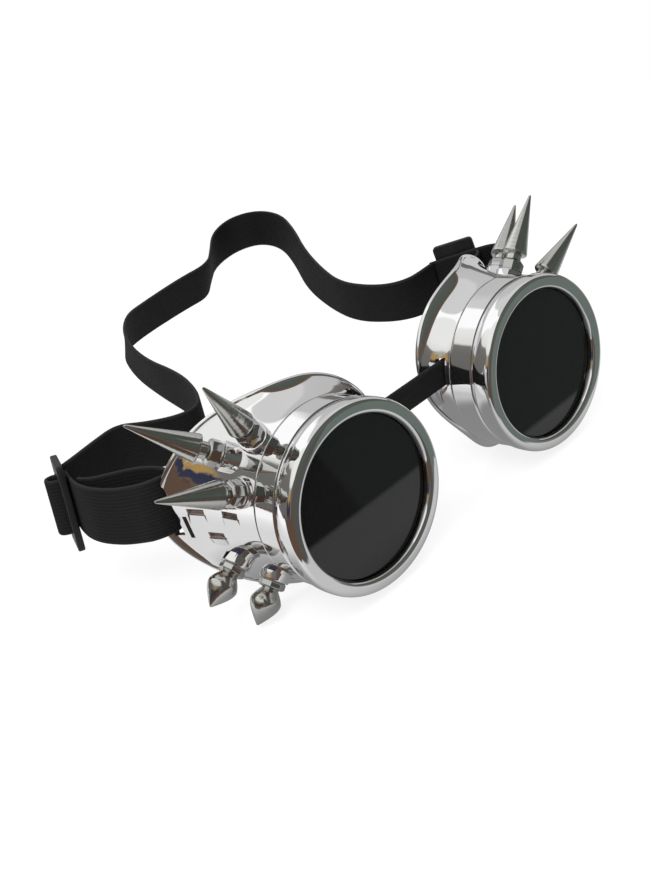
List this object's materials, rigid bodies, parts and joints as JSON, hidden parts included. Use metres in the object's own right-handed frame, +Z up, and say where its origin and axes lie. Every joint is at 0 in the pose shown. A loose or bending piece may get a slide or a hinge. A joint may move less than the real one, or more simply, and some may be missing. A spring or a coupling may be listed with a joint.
{
  "type": "steampunk goggles",
  "caption": "Chromed steampunk goggles with spiked eye cups, screw-on lens rings, dark round lenses, a nose strap and an adjustable head strap.",
  "frame": {"origin": "midway between the eye cups, halfway between the front of the lens rings and the back of the cups' rims, level with the lowest point of the cups", "axes": "+X to the right as seen from the front, -Y the way the lenses look, +Z up"},
  "size_m": [0.2589, 0.3119, 0.0837],
  "materials": {
    "chromed_cup": "polished",
    "chromed_ring": "polished",
    "chromed_spike": "polished",
    "steel_screw": "satin",
    "dark_glass": "gloss",
    "black_rubber": "matte",
    "black_plastic": "satin",
    "black_band": "satin",
    "black_webbing": "woven"
  },
  "bodies": {
    "left_cup": {"left_eye_cup": "chromed_cup", "left_long_spike_1": "chromed_spike", "left_long_spike_2": "chromed_spike", "left_long_spike_3": "chromed_spike", "left_short_spike_1": "chromed_spike", "left_short_spike_2": "chromed_spike", "left_spike_collars": "chromed_spike", "left_spike_screws": "steel_screw", "nose_strap": "black_band", "left_nose_stop": "steel_screw", "right_nose_stop": "steel_screw", "left_strap_loop": "black_webbing", "right_strap_loop": "black_webbing", "head_strap": "black_webbing"},
    "left_ring": {"left_lens_ring": "chromed_ring"},
    "left_lens": {"left_dark_lens": "dark_glass", "left_lens_gasket": "black_rubber"},
    "left_adjuster": {"left_slider": "black_plastic", "left_strap_turn": "black_webbing"},
    "right_cup": {"right_eye_cup": "chromed_cup", "right_long_spike_1": "chromed_spike", "right_long_spike_2": "chromed_spike", "right_long_spike_3": "chromed_spike", "right_short_spike_1": "chromed_spike", "right_short_spike_2": "chromed_spike", "right_spike_collars": "chromed_spike", "right_spike_screws": "steel_screw"},
    "right_ring": {"right_lens_ring": "chromed_ring"},
    "right_lens": {"right_dark_lens": "dark_glass", "right_lens_gasket": "black_rubber"},
    "right_adjuster": {"right_slider": "black_plastic", "right_strap_turn": "black_webbing"}
  },
  "joints": [
    {"name": "nose_flex", "type": "hinge", "parent": "left_cup", "child": "right_cup", "pos_m": [0.019, -0.0086, 0.04111], "axis": [0, 0, 1], "range_deg": [-6, 6], "deforming": ["right_strap_loop"]},
    {"name": "left_lens_lift", "type": "slide", "parent": "left_cup", "child": "left_lens", "axis": [0, -1, 0], "range_m": [0, 0.009]},
    {"name": "left_ring_turn", "type": "hinge", "parent": "left_lens", "child": "left_ring", "pos_m": [-0.0437, -0.02741, 0.03251], "axis": [0, -1, 0], "range_deg": [0, 1080]},
    {"name": "right_lens_lift", "type": "slide", "parent": "right_cup", "child": "right_lens", "axis": [0, -1, 0], "range_m": [0, 0.009]},
    {"name": "right_ring_turn", "type": "hinge", "parent": "right_lens", "child": "right_ring", "pos_m": [0.0437, -0.02741, 0.03251], "axis": [0, -1, 0], "range_deg": [0, 1080]},
    {"name": "left_slider_shift", "type": "slide", "parent": "left_cup", "child": "left_adjuster", "axis": [-0.3396, -0.9388, 0.0576], "range_m": [0, 0.006]},
    {"name": "right_slider_shift", "type": "slide", "parent": "left_cup", "child": "right_adjuster", "axis": [0.5389, -0.8382, 0.0837], "range_m": [0, 0.006]}
  ],
  "couplings": [
    {"joint": "left_lens_lift", "follows": "left_ring_turn", "m_per_rad": 0.00047746},
    {"joint": "right_lens_lift", "follows": "right_ring_turn", "m_per_rad": 0.00047746}
  ]
}
